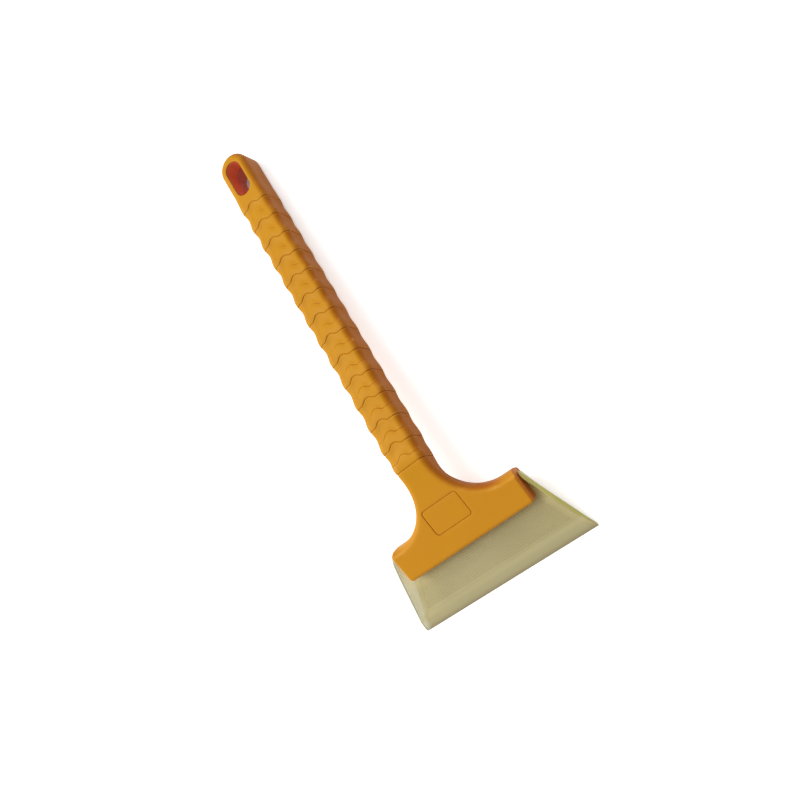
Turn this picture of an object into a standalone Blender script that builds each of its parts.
# Windshield ice scraper: a two-shell moulded handle that grows into a T-shaped
# head, with a translucent elastomer blade clamped between the two shells.
#
# Design frame (millimetres in the constants, metres in the meshes):
#   +X across the blade, +Y along the handle from the scraping edge to the hang
#   end, +Z out of the front face. The whole tool is then laid down by one empty
#   so that it rests, front up, on its scraping edge and on its hang end.

import math
from collections import namedtuple

import bmesh
import bpy
from mathutils import Matrix, Vector

MM = 0.001

# ---------------------------------------------------------------- dimensions
# grip
GRIP_HALF_W = 11.15        # half width of the handle
NECK_HALF_W = 10.7         # half width where the head begins
NECK_BLEND_LEN = 18.0      # length over which the one becomes the other
GRIP_FRONT_Z = 41.3        # front plane of the handle above the scraping edge
GRIP_BACK_Z = 20.6         # back plane of the handle at the hang end ...
BACK_TAPER = 0.0125        # ... and how it comes up towards the head
GRIP_ROUND = 4.5           # radius along the front edges
BACK_ROUND = 2.4           # radius along the back edges
BACK_INSET = 0.45          # the cover stands in a little from the front shell
HANG_CENTRE_Y = 318.4      # centre of the round hang end, at the front face
HANG_RAKE = 0.11           # the end wall leans out this much per mm of depth
HANG_STEPS = 8

# finger grooves and the scallops between them
GRIP_TOP_Y = 300.0         # plain station before the first groove
GROOVE_FIRST_Y = 284.5
GROOVE_PITCH = 15.87
GROOVE_COUNT = 13          # grooves at full pitch
GROOVE_LAST_Y = 80.4       # one more groove, at the neck
WAVE = 0.42                # half height of the scallops
BACK_WAVE = 0.76           # share of it on the sides of the cover
CREST_AHEAD = 2.8          # from a groove to its crest, towards the hang end
TROUGH_AFTER = 4.5         # from a groove to its trough, towards the head

# hang slot
SLOT_HALF_W = 5.9
SLOT_Y0 = 301.3            # centres of its round ends
SLOT_Y1 = 316.7
SLOT_WALL = 1.8
SLOT_STEPS = 10

# head
HEAD_FRONT_0 = 11.56       # front plane of the head: z = HEAD_FRONT_0 + slope * y
HEAD_FRONT_SLOPE = 0.359
FILLET_X = 38.0            # centre of the neck fillets
FILLET_Y = 76.5
FILLET_R = FILLET_X - NECK_HALF_W
FILLET_STEPS = 9
BAR_TOP_Y = FILLET_Y - FILLET_R
BAR_REF_Y = 28.0           # where the bar's half length and wall height are given
BAR_HALF_LIP = 45.3        # half length of the bar at the lip ...
BAR_FLARE = 0.033          # ... and its growth towards the handle
LIP_Y = 27.9
LIP_MID_X = 22.0           # station between the lip's corner and its middle
BAR_CORNER = 2.5
LIP_CORNER = 2.0
END_TOP_BELOW = 1.9        # first end-face station below the top corner ...
END_TOP_MIN = 0.3          # ... and its least distance from it
SHOULDER_IN = 4.0          # shoulder above the bar: inset and drop
SHOULDER_DROP = 7.5
BACK_SHOULDER = 4.5        # both, on the back
END_ROUND = 1.8
LIP_ROUND = 2.2
FACE_BLEND = 2.0           # width over which two planes of a face blend

# lean of the bar's walls
WALL_REF_Z = 19.5          # height at which they keep the outline's place ...
WALL_REF_SLOPE = 0.0714    # ... and its growth with y
UNDERCUT_FROM_Y = 42.0     # walls beyond this y lean in below the blade
UNDERCUT_DEPTH = 3.1       # start of that lean under the blade's front face
UNDERCUT_SLOPE = 0.75

# shells
WALL = 2.0
TUBE_Z = 30.2              # parting plane of the screw bosses and the slot tube
RIM_H = 3.4                # parting line of the side walls above the back face
PART_SLOPE_Y = 49.0        # from here the parting surface climbs ...
PART_TOP_Y = 62.0          # ... to its height along the handle
GAP = 0.3                  # free gap between pieces that touch

# blade
BLADE_ANGLE = math.radians(17.0)
BLADE_T = 2.4
BLADE_FACE_DROP = 0.21     # front face below a sheet of full thickness
BLADE_EDGE_T = 0.35
BEVEL_LEN = 8.6
BLADE_ROOT_Y = 46.1
BLADE_ROOT_LEAN = 0.7      # front of the root edge stands back by this

# back of the head, measured square to the blade
HEAD_BACK_DEPTH = 5.6      # outer face below the blade's front face
HEAD_BACK_ROUND = 1.6
NECK_STEP_Y = 46.0         # the back steps up from the head plate to the handle
NECK_STEP_SLOPE = 0.62

# screws
SCREW_HEAD_R = 2.8
SCREW_SHANK_R = 1.25
SCREW_TIP_R = 0.35
SCREW_TIP_LEN = 2.0
SCREW_STEPS = 20
RECESS_LEN = 3.0
RECESS_W = 0.62
PILOT_R = 1.55
CLEAR_R = 1.8
BLADE_HOLE_R = 1.95
CBORE_R = 3.3
GRIP_BOSS_R = 3.2          # in the front shell
HEAD_BOSS_R = 3.4          # in the front shell
COVER_BOSS_R = 5.2
GRIP_SCREWS_Y = (104.0, 165.0, 226.0, 286.0)
SEAT_Z = 26.8              # seat of the screw heads in the handle
HEAD_SCREWS_X = {"left": -30.0, "centre": 0.0, "right": 30.0}
HEAD_SCREW_Y = 38.0
HEAD_SEAT = 4.1            # seat in the head, below the blade's front face

TAN_B = math.tan(BLADE_ANGLE)
COS_B = math.cos(BLADE_ANGLE)
SIN_B = math.sin(BLADE_ANGLE)

# ------------------------------------------------------------------- scene
for old in list(bpy.data.objects):
    bpy.data.objects.remove(old, do_unlink=True)

parts = bpy.data.collections.new("windshield_ice_scraper")
cutters = bpy.data.collections.new("cutters")
bpy.context.scene.collection.children.link(parts)
bpy.context.scene.collection.children.link(cutters)

rest = bpy.data.objects.new("rest_pose", None)
parts.objects.link(rest)


def material(name, colour, roughness, metallic=0.0, transmission=0.0):
    mat = bpy.data.materials.new(name)
    mat.use_nodes = True
    inputs = mat.node_tree.nodes["Principled BSDF"].inputs
    inputs["Base Color"].default_value = (*colour, 1.0)
    inputs["Roughness"].default_value = roughness
    inputs["Metallic"].default_value = metallic
    inputs["Transmission Weight"].default_value = transmission
    mat.diffuse_color = (*colour, 1.0)
    return mat


MAT_FRONT = material("orange_front", colour=(0.70, 0.32, 0.035), roughness=0.42)
MAT_BACK = material("orange_back", colour=(0.60, 0.24, 0.03), roughness=0.45)
MAT_BLADE = material("clear_elastomer", colour=(0.46, 0.42, 0.20), roughness=0.28,
                     transmission=0.35)
MAT_STEEL = material("zinc_steel", colour=(0.62, 0.62, 0.60), roughness=0.32, metallic=1.0)


# ---------------------------------------------------------- object helpers
def mesh_object(bm, name, sharp_degrees=None):
    """Turn a bmesh into an object, smooth-shaded if a sharp angle is given."""
    mesh = bpy.data.meshes.new(name)
    bm.to_mesh(mesh)
    bm.free()
    if sharp_degrees is not None:
        mesh.shade_smooth()
        mesh.set_sharp_from_angle(angle=math.radians(sharp_degrees))
    return bpy.data.objects.new(name, mesh)


def add_part(ob, mat):
    ob.data.materials.append(mat)
    ob.parent = rest
    parts.objects.link(ob)
    return ob


def add_tool(ob, parent=rest):
    """Hidden helper that a boolean modifier works with."""
    ob.hide_render = True
    ob.display_type = "WIRE"
    ob.parent = parent
    cutters.objects.link(ob)
    return ob


def boolean(ob, other, operation, name=None):
    mod = ob.modifiers.new(name or operation.lower() + "_" + other.name, "BOOLEAN")
    mod.operation = operation
    mod.object = other
    mod.solver = "EXACT"
    return mod


# --------------------------------------------------------- shape functions
def clamp(value):
    return max(0.0, min(1.0, value))


def mix(a, b, t):
    return a * (1.0 - t) + b * t


def soft_min(a, b):
    h = clamp(0.5 + 0.5 * (b - a) / FACE_BLEND)
    return mix(b, a, h) - FACE_BLEND * h * (1.0 - h)


def front_z(y):
    """Front face: the flat handle, then the slope of the head."""
    return soft_min(GRIP_FRONT_Z, HEAD_FRONT_0 + HEAD_FRONT_SLOPE * y)


def blade_z(y):
    """Front face of the blade's flat sheet."""
    return BLADE_T / COS_B - BLADE_FACE_DROP + TAN_B * y


def grip_back(y):
    """Back plane of the handle."""
    return GRIP_BACK_Z + BACK_TAPER * (HANG_CENTRE_Y - y)


def head_back(y):
    """Back plane of the head, parallel to the blade."""
    return blade_z(y) - HEAD_BACK_DEPTH / COS_B


def back_z(y):
    """Back face: the flat handle, a steep step under the neck, then the head."""
    step = head_back(NECK_STEP_Y) + NECK_STEP_SLOPE * (y - NECK_STEP_Y)
    return soft_min(grip_back(y), max(head_back(y), step))


def part_z(y):
    """Parting surface of the two shells."""
    z0 = blade_z(PART_SLOPE_Y)
    climb = (grip_back(PART_TOP_Y) + RIM_H - z0) / (PART_TOP_Y - PART_SLOPE_Y)
    return min(grip_back(y) + RIM_H, max(blade_z(y), z0 + climb * (y - PART_SLOPE_Y)))


def bar_half(y):
    return BAR_HALF_LIP + BAR_FLARE * (y - BAR_REF_Y)


def grip_stations():
    """(y, wave height) along the handle from the hang end to the neck."""
    grooves = [GROOVE_FIRST_Y - i * GROOVE_PITCH for i in range(GROOVE_COUNT)]
    stations = [(GRIP_TOP_Y, 0.0)]
    for groove in grooves + [GROOVE_LAST_Y]:
        stations.append((groove + CREST_AHEAD, WAVE))
        stations.append((groove, 0.0))
        if groove - TROUGH_AFTER > FILLET_Y + 1.0:
            stations.append((groove - TROUGH_AFTER, -WAVE))
    return stations


# ----------------------------------------------------------------- outline
# One point of an outline: drop is measured from the face into the shell, wave
# is the scallop's height, shear is how far the wall turns square to the blade.
Station = namedtuple("Station", "x y drop wave shear zone")

# Edge sizes: grip round, shoulder inset, shoulder drop, bar end round, lip round
FRONT_EDGES = (GRIP_ROUND, SHOULDER_IN, SHOULDER_DROP, END_ROUND, LIP_ROUND)
BACK_EDGES = (BACK_ROUND, BACK_SHOULDER, BACK_SHOULDER, HEAD_BACK_ROUND, HEAD_BACK_ROUND)


def half_outline(angle, inset, wavy, back):
    """Stations from the hang end's tip round the +X side to the middle of the
    lip. angle 0 is the side wall and 90 degrees the face."""
    grip_r, shoulder_w, shoulder_h, end_r, lip_r = BACK_EDGES if back else FRONT_EDGES
    inward, down = 1.0 - math.cos(angle), 1.0 - math.sin(angle)
    grip_in = grip_r * inward + inset
    shoulder_in = shoulder_w * inward + inset
    end_in = end_r * inward + inset
    lip_in = lip_r * inward + inset
    stations = []

    def put(x, y, drop, wave, shear, zone):
        stations.append(Station(x, y, drop * down, wave, shear, zone))

    # round hang end
    r = GRIP_HALF_W - grip_in
    for i in range(HANG_STEPS + 1):
        a = math.radians(90.0 - 90.0 * i / HANG_STEPS)
        x = r * math.cos(a) if i else 0.0
        put(x, HANG_CENTRE_Y + r * math.sin(a), grip_r, 0.0, 0.0, "hang")

    # handle side
    wave_share = (BACK_WAVE if back else 1.0) if wavy else 0.0
    for y, height in grip_stations():
        wave = height * wave_share
        half_w = mix(NECK_HALF_W, GRIP_HALF_W, clamp((y - FILLET_Y) / NECK_BLEND_LEN))
        put(half_w - grip_in + wave, y, grip_r, wave, 0.0, "grip")

    # neck fillet
    for i in range(FILLET_STEPS + 1):
        t = i / FILLET_STEPS
        a = math.radians(180.0 + 90.0 * t)
        r = FILLET_R + mix(grip_in, shoulder_in, t)
        put(FILLET_X + r * math.cos(a), FILLET_Y + r * math.sin(a),
            mix(grip_r, shoulder_h, t), 0.0, t, "neck")

    # top corner of the bar
    top = BAR_TOP_Y - shoulder_in
    rx = max(0.8, BAR_CORNER - end_in)
    ry = max(0.8, BAR_CORNER - shoulder_in)
    steps = 4
    for i in range(steps + 1):
        t = i / steps
        a = math.radians(90.0 - 90.0 * t)
        y = top - ry + ry * math.sin(a)
        put(bar_half(y) - end_in - rx + rx * math.cos(a), y,
            mix(shoulder_h, end_r, t), 0.0, 1.0, "corner")

    # end face
    low = LIP_Y + lip_in
    r = max(0.6, LIP_CORNER - end_in)
    end_top, end_low = top - ry, low + r
    for y in (min(BAR_TOP_Y - BAR_CORNER - END_TOP_BELOW, end_top - END_TOP_MIN),
              end_top + (end_low - end_top) * 0.5):
        put(bar_half(y) - end_in, y, end_r, 0.0, 1.0, "bar")

    # lower corner
    steps = 3
    for i in range(steps + 1):
        t = i / steps
        a = math.radians(-90.0 * t)
        y = end_low + r * math.sin(a)
        put(bar_half(y) - end_in - r + r * math.cos(a), y,
            mix(end_r, lip_r, t), 0.0, 1.0, "bar")

    # lip
    for x in (LIP_MID_X, 0.0):
        put(x, low, lip_r, 0.0, 1.0, "bar")
    return stations


def sheared(y, z, shear):
    """The bar's walls stand square to the blade, not to the handle, and lean
    in again below the blade towards the back."""
    ref = WALL_REF_Z + WALL_REF_SLOPE * (y - BAR_REF_Y)
    below = max(0.0, blade_z(y) - UNDERCUT_DEPTH - z) if y > UNDERCUT_FROM_Y else 0.0
    return y + shear * (TAN_B * (ref - z) - UNDERCUT_SLOPE * below)


def ring(angle, z_of, inset, wavy, back):
    """Half ring of 3-D points. z_of(station, y) gives the height."""
    points = []
    for st in half_outline(angle, inset, wavy, back):
        y = st.y
        # height and lean depend on each other, so they are settled in turns
        for _ in range(4):
            z = z_of(st, y)
            if st.zone == "hang":
                y = st.y + HANG_RAKE * (GRIP_FRONT_Z - z)
            else:
                y = sheared(st.y, z, st.shear)
        points.append((st.x, y, z))
    return points


# ------------------------------------------------------------------- shells
# rungs run down the handle to the middle of the neck fillet
LADDER_TO = HANG_STEPS + 1 + len(grip_stations()) + 6


def new_face(bm, *corners):
    """Face over the corners, leaving out repeats on the middle line."""
    unique = list(dict.fromkeys(corners))
    if len(unique) > 2:
        bm.faces.new(unique)


def shell(name, ring_specs, back):
    """Closed shell lofted from half rings (outer face first, inner face last).
    The first and last rings are filled: a ladder of rungs down the handle and
    one flat polygon over the head."""
    bm = bmesh.new()
    loops = []
    for degrees, z_of, inset, wavy in ring_specs:
        half = ring(math.radians(degrees), z_of, inset, wavy, back)
        right = [bm.verts.new(Vector(p) * MM) for p in half]
        left = [bm.verts.new(Vector((-x, y, z)) * MM) for x, y, z in half[1:-1]]
        loops.append((right, [right[0], *left, right[-1]]))

    for (right_a, left_a), (right_b, left_b) in zip(loops, loops[1:]):
        for i in range(len(right_a) - 1):
            new_face(bm, right_a[i], right_a[i + 1], right_b[i + 1], right_b[i])
            new_face(bm, left_a[i + 1], left_a[i], left_b[i], left_b[i + 1])
    for right, left in (loops[0], loops[-1]):
        for i in range(LADDER_TO):
            new_face(bm, right[i], right[i + 1], left[i + 1], left[i])
        bm.faces.new(right[LADDER_TO:] + left[LADDER_TO:-1][::-1])
    bmesh.ops.recalc_face_normals(bm, faces=bm.faces)
    bmesh.ops.triangulate(bm, faces=[f for f in bm.faces if len(f.verts) > 4])
    return mesh_object(bm, name, sharp_degrees=32)


# -------------------------------------------------------------------- tools
HEAD_TILT = Matrix.Rotation(BLADE_ANGLE, 4, "X")


def head_point(x, y, h):
    """Point at height h square to the blade's front face."""
    return Vector((x, y - h * SIN_B, blade_z(y) + h * COS_B))


def upright(y, low, high, radius):
    """Cylinder on the handle's middle line between two z heights."""
    return Vector((0.0, y, (low + high) / 2)), radius, high - low, Matrix.Identity(4)


def head_cylinders(low, high, radius):
    """Cylinders at the head screws, between two heights above the blade's face."""
    return [(head_point(x, HEAD_SCREW_Y, (low + high) / 2), radius, high - low, HEAD_TILT)
            for x in HEAD_SCREWS_X.values()]


def cylinders(name, items, segments=20):
    """Tool made of (centre, radius, length, tilt) cylinders."""
    bm = bmesh.new()
    for centre, radius, length, tilt in items:
        bmesh.ops.create_cone(bm, cap_ends=True, segments=segments, radius1=radius * MM,
                              radius2=radius * MM, depth=length * MM,
                              matrix=Matrix.Translation(centre * MM) @ tilt)
    return add_tool(mesh_object(bm, name))


def boxes(name, items, parent=rest):
    """Tool made of (low corner, high corner, degrees turned about Z) boxes."""
    bm = bmesh.new()
    for low, high, turn in items:
        low, high = Vector(low) * MM, Vector(high) * MM
        matrix = (Matrix.Rotation(math.radians(turn), 4, "Z")
                  @ Matrix.Translation((low + high) / 2)
                  @ Matrix.Diagonal((*(high - low), 1.0)))
        bmesh.ops.create_cube(bm, size=1.0, matrix=matrix)
    return add_tool(mesh_object(bm, name), parent)


def stadium(name, half_w, z0, z1):
    """Upright prism with the hang slot's outline."""
    curve = bpy.data.curves.new(name, "CURVE")
    curve.dimensions = "2D"
    curve.fill_mode = "BOTH"
    curve.extrude = (z1 - z0) / 2 * MM
    outline = []
    for start, centre_y in ((0.0, SLOT_Y1), (math.pi, SLOT_Y0)):
        for i in range(SLOT_STEPS + 1):
            a = start + math.pi * i / SLOT_STEPS
            outline.append((half_w * math.cos(a), centre_y + half_w * math.sin(a)))
    spline = curve.splines.new("POLY")
    spline.points.add(len(outline) - 1)
    for point, (x, y) in zip(spline.points, outline):
        point.co = (x * MM, y * MM, 0.0, 1.0)
    spline.use_cyclic_u = True

    source = bpy.data.objects.new(name + "_curve", curve)
    cutters.objects.link(source)
    bpy.context.view_layer.update()
    depsgraph = bpy.context.evaluated_depsgraph_get()
    mesh = bpy.data.meshes.new_from_object(source.evaluated_get(depsgraph))
    bpy.data.objects.remove(source, do_unlink=True)

    # weld the caps to the walls
    bm = bmesh.new()
    bm.from_mesh(mesh)
    bmesh.ops.remove_doubles(bm, verts=bm.verts, dist=0.01 * MM)
    bmesh.ops.recalc_face_normals(bm, faces=bm.faces)
    bm.to_mesh(mesh)
    bm.free()
    prism = bpy.data.objects.new(name, mesh)
    prism.location.z = (z0 + z1) / 2 * MM
    return add_tool(prism)


# -------------------------------------------------------------- front shell
PILOT_TOP_Z = 38.6
HEAD_BOSS_H = 9.6              # heights above the blade's front face
HEAD_PILOT_LOW, HEAD_PILOT_HIGH = -0.9, 8.1
RIB_HALF_L = 9.6
RIB_HALF_T = 0.7
RIB_ABOVE = 2.4                # rib's lower edge above the parting plane
# how far bosses, ribs and slot tube stop short of the front plane
BOSS_SHORT, RIB_SHORT, TUBE_SHORT = 1.2, 1.3, 1.1
SLOT_OVERCUT = 4.0


def front_rim(st, y):
    if st.zone == "bar":
        return blade_z(y) + GAP
    return part_z(y) + GAP / 2


def front_face(st, y):
    return front_z(y) - st.drop + st.wave


def front_inner_edge(st, y):
    return front_z(y) - WALL - st.drop * 0.55


def front_inner(st, y):
    return front_z(y) - WALL


# face angle in degrees, height function, inset, with scallops
FRONT_RINGS = [
    (90, front_face, 0.0, True),
    (62, front_face, 0.0, True),
    (32, front_face, 0.0, True),
    (0, front_face, 0.0, True),
    (0, front_rim, 0.0, True),
    (0, front_rim, WALL, False),
    (0, front_inner_edge, WALL, False),
    (90, front_inner, WALL * 0.6, False),
]


def build_front_shell():
    low = TUBE_Z + GAP / 2
    bosses = [upright(y, low, GRIP_FRONT_Z - BOSS_SHORT, GRIP_BOSS_R) for y in GRIP_SCREWS_Y]
    bosses += head_cylinders(GAP, HEAD_BOSS_H, HEAD_BOSS_R)
    pilots = [upright(y, low - 1, PILOT_TOP_Z, PILOT_R) for y in GRIP_SCREWS_Y]
    pilots += head_cylinders(HEAD_PILOT_LOW, HEAD_PILOT_HIGH, PILOT_R)
    ribs = [((-RIB_HALF_L, y - RIB_HALF_T, TUBE_Z + RIB_ABOVE),
             (RIB_HALF_L, y + RIB_HALF_T, GRIP_FRONT_Z - RIB_SHORT), 0) for y in GRIP_SCREWS_Y]

    front = add_part(shell("front_shell", FRONT_RINGS, back=False), MAT_FRONT)
    boolean(front, cylinders("front_bosses", bosses), "UNION")
    boolean(front, boxes("front_ribs", ribs), "UNION")
    boolean(front, stadium("front_slot_tube", SLOT_HALF_W + SLOT_WALL, low,
                           GRIP_FRONT_Z - TUBE_SHORT), "UNION")
    boolean(front, cylinders("front_pilots", pilots, segments=16), "DIFFERENCE")
    boolean(front, stadium("front_slot", SLOT_HALF_W, TUBE_Z - SLOT_OVERCUT,
                           GRIP_FRONT_Z + SLOT_OVERCUT), "DIFFERENCE")


# --------------------------------------------------------------- back cover
BOSS_SINK = 1.0                # bosses start this far inside the back wall
TUBE_SINK = 0.9                # and the slot tube this far
HEAD_BOSS_DEPTH = 5.0          # depths below the blade's front face
HEAD_HOLE_DEPTH = 8.0
HEAD_CBORE_DEPTH = 10.0
CLEAR_LOW_Z, CLEAR_HIGH_Z = 20.0, 36.0
CBORE_LOW_Z = 15.0


def back_rim(st, y):
    if st.zone == "bar":
        return blade_z(y) - (BLADE_T + GAP) / COS_B
    return part_z(y) - GAP / 2


def back_face(st, y):
    return back_z(y) + st.drop


def back_inner(st, y):
    return back_z(y) + WALL


# face angle in degrees, height function, inset, with scallops
BACK_RINGS = [
    (90, back_face, BACK_INSET, False),
    (45, back_face, BACK_INSET, True),
    (0, back_face, BACK_INSET, True),
    (0, back_rim, BACK_INSET, True),
    (0, back_rim, WALL, False),
    (90, back_inner, WALL * 0.8, False),
]


def build_back_cover():
    high = TUBE_Z - GAP / 2
    bosses = [upright(y, grip_back(y) + BOSS_SINK, high, COVER_BOSS_R) for y in GRIP_SCREWS_Y]
    bosses += head_cylinders(-HEAD_BOSS_DEPTH, -(BLADE_T + GAP), COVER_BOSS_R)
    holes = [upright(y, CLEAR_LOW_Z, CLEAR_HIGH_Z, CLEAR_R) for y in GRIP_SCREWS_Y]
    holes += head_cylinders(-HEAD_HOLE_DEPTH, 0.0, CLEAR_R)
    counterbores = [upright(y, CBORE_LOW_Z, SEAT_Z, CBORE_R) for y in GRIP_SCREWS_Y]
    counterbores += head_cylinders(-HEAD_CBORE_DEPTH, -HEAD_SEAT, CBORE_R)

    cover = add_part(shell("back_cover", BACK_RINGS, back=True), MAT_BACK)
    boolean(cover, cylinders("cover_bosses", bosses), "UNION")
    boolean(cover, stadium("cover_slot_tube", SLOT_HALF_W + SLOT_WALL,
                           GRIP_BACK_Z + TUBE_SINK, high), "UNION")
    boolean(cover, cylinders("cover_counterbores", counterbores), "DIFFERENCE")
    boolean(cover, cylinders("cover_holes", holes, segments=16), "DIFFERENCE")
    boolean(cover, stadium("cover_slot", SLOT_HALF_W, GRIP_BACK_Z - SLOT_OVERCUT,
                           TUBE_Z + SLOT_OVERCUT), "DIFFERENCE")


# -------------------------------------------------------------------- blade
BLADE_STATIONS_Y = (0.0, 2.0, 4.5, BEVEL_LEN, 14.0, 20.0, 26.0, 31.0, 36.0, 41.0, BLADE_ROOT_Y)
WING_RISE_LEN = 6.0            # the side wings rise over this length ...
WING_END_Y = 40.5              # ... and come down from here to the root
WING_END_DROP = 2.6
BLADE_HOLE_LOW, BLADE_HOLE_HIGH = -5.2, 2.8


def fold_x(y):
    """Line where the flat sheet folds up into the side wing."""
    return min(60.2, max(61.2 - 0.40 * y, 46.75 + 0.1375 * max(0.0, 44.0 - y)))


def wing_top_x(y):
    """Outer top edge of the side wing."""
    return 62.75 - 0.3325 * max(0.0, y - 2.0) - 0.045 * max(0.0, y - 34.0)


def wing_height(y, rise):
    """Top of the wing above the blade's underside."""
    end = max(0.0, (y - WING_END_Y) / (BLADE_ROOT_Y - WING_END_Y))
    return 0.5 + (2.3 + 0.19 * y) * rise + 0.35 * (1 - rise) - WING_END_DROP * end * end


def blade_section(y):
    """Cross-section at y as (inner points, outer points), right half from the
    middle out to the top of the side wing."""
    under = TAN_B * y
    face = under + mix(BLADE_EDGE_T, blade_z(0.0), min(1.0, y / BEVEL_LEN))
    fold = fold_x(y)
    rise = clamp(y / WING_RISE_LEN)
    outer_x = wing_top_x(y)
    outer_h = wing_height(y, rise)
    outer_z = under + outer_h
    wing_t = 1.0 + 1.25 * min(1.0, y / 12.0)
    inner_x = max(outer_x - wing_t, fold + 0.12)
    inner_z = outer_z + 0.35 * rise
    inner_h = inner_z - face
    # the inside of the fold is rounder towards the scraping edge
    soft = 0.45 + 2.2 * clamp((38.0 - y) / 8.0)
    inner = [
        (0.0, face),
        (fold - soft, face),
        (fold - soft * 0.35, face + 0.035 * min(inner_h, 4.0) * (soft + 0.3)),
        (fold + 0.15 * (inner_x - fold), face + 0.36 * inner_h),
        (inner_x, inner_z),
    ]
    bend = mix(fold, outer_x, 0.62)
    outer = [
        (0.0, under),
        (fold - 1.6, under),
        (bend - 0.5, under + 0.08 * outer_h),
        (bend + 0.2 * (outer_x - bend), under + 0.40 * outer_h),
        (outer_x, outer_z),
    ]
    return inner, outer


def blade_row(bm, half, y):
    """Vertices across the blade: the mirrored half, then the half itself."""
    full = [(-x, z) for x, z in half[:0:-1]] + half
    return [bm.verts.new(Vector((x, y, z)) * MM) for x, z in full]


def build_blade():
    bm = bmesh.new()
    tops, bottoms = [], []
    for y in BLADE_STATIONS_Y:
        top_y = y if y < BLADE_ROOT_Y else y - BLADE_ROOT_LEAN
        tops.append(blade_row(bm, blade_section(top_y)[0], top_y))
        bottoms.append(blade_row(bm, blade_section(y)[1], y))
    last = len(tops[0]) - 1
    for a, b in zip(tops, tops[1:]):
        for j in range(last):
            bm.faces.new((a[j], a[j + 1], b[j + 1], b[j]))
    for a, b in zip(bottoms, bottoms[1:]):
        for j in range(last):
            bm.faces.new((a[j], b[j], b[j + 1], a[j + 1]))
    for i in range(len(tops) - 1):
        for j in (0, last):
            bm.faces.new((tops[i][j], tops[i + 1][j], bottoms[i + 1][j], bottoms[i][j]))
    for top, bottom in ((tops[0], bottoms[0]), (tops[-1], bottoms[-1])):
        for j in range(last):
            bm.faces.new((top[j], bottom[j], bottom[j + 1], top[j + 1]))
    bmesh.ops.recalc_face_normals(bm, faces=bm.faces)

    blade = add_part(mesh_object(bm, "scraper_blade", sharp_degrees=30), MAT_BLADE)
    holes = head_cylinders(BLADE_HOLE_LOW, BLADE_HOLE_HIGH, BLADE_HOLE_R)
    boolean(blade, cylinders("blade_holes", holes, segments=16), "DIFFERENCE")


# ------------------------------------------------------------------- screws
def screw_profile(name, head_h, length):
    """Half profile with the underside of the head at z = 0, head up."""
    profile = [
        (0.0, head_h),
        (SCREW_HEAD_R * 0.62, head_h),
        (SCREW_HEAD_R * 0.93, head_h * 0.72),
        (SCREW_HEAD_R, head_h * 0.3),
        (SCREW_HEAD_R, 0.0),
        (SCREW_SHANK_R, 0.0),
        (SCREW_SHANK_R, -length + SCREW_TIP_LEN),
        (SCREW_TIP_R, -length),
        (0.0, -length),
    ]
    mesh = bpy.data.meshes.new(name)
    mesh.from_pydata([(x * MM, 0.0, z * MM) for x, z in profile],
                     [(i, i + 1) for i in range(len(profile) - 1)], [])
    return mesh


def build_screw(name, seat, tilt, head_h, length):
    """Pan-head self-tapping screw with a cross recess."""
    screw = bpy.data.objects.new(name, screw_profile(name, head_h, length))
    turn = screw.modifiers.new("turn", "SCREW")
    turn.axis = "Z"
    turn.steps = turn.render_steps = SCREW_STEPS
    turn.use_merge_vertices = True
    turn.merge_threshold = 0.05 * MM
    turn.use_smooth_shade = True
    screw.location = seat * MM
    # the head faces the back of the tool
    screw.rotation_euler = (math.pi + tilt, 0.0, 0.0)
    add_part(screw, MAT_STEEL)

    low = (-RECESS_LEN / 2, -RECESS_W / 2, head_h * 0.25)
    high = (RECESS_LEN / 2, RECESS_W / 2, head_h + 1.0)
    cross = boxes(name + "_recess", [(low, high, 0), (low, high, 90)], parent=screw)
    # the two arms of the cross overlap
    boolean(screw, cross, "DIFFERENCE", name="recess").use_self = True


def build_screws():
    for i, y in enumerate(GRIP_SCREWS_Y, start=1):
        build_screw(f"grip_screw_{i}", Vector((0.0, y, SEAT_Z - GAP)),
                    tilt=0.0, head_h=1.8, length=10.6)
    for side, x in HEAD_SCREWS_X.items():
        build_screw(f"head_screw_{side}", head_point(x, HEAD_SCREW_Y, -HEAD_SEAT - GAP),
                    tilt=BLADE_ANGLE, head_h=1.1, length=12.0)


# ---------------------------------------------------------------- rest pose
HANG_REST_OUT = 10.6           # back rim's reach beyond the hang centre, for its height


def lay_down():
    """Lay the tool on its back: the scraping edge and the hang end's back rim
    both touch z = 0, and the footprint is centred on the origin."""
    rim_z = grip_back(HANG_CENTRE_Y + HANG_REST_OUT)
    rim_y = (HANG_CENTRE_Y + HANG_RAKE * (GRIP_FRONT_Z - rim_z) + GRIP_HALF_W - BACK_ROUND
             - BACK_INSET)
    rest.rotation_euler = (-math.atan2(rim_z, rim_y), 0.0, 0.0)
    bpy.context.view_layer.update()
    depsgraph = bpy.context.evaluated_depsgraph_get()
    points = []
    for ob in parts.objects:
        if ob.type == "MESH":
            evaluated = ob.evaluated_get(depsgraph)
            points += [ob.matrix_world @ v.co for v in evaluated.to_mesh().vertices]
            evaluated.to_mesh_clear()
    ys = [p.y for p in points]
    rest.location = (0.0, -(min(ys) + max(ys)) / 2, -min(p.z for p in points))


build_front_shell()
build_back_cover()
build_blade()
build_screws()
lay_down()
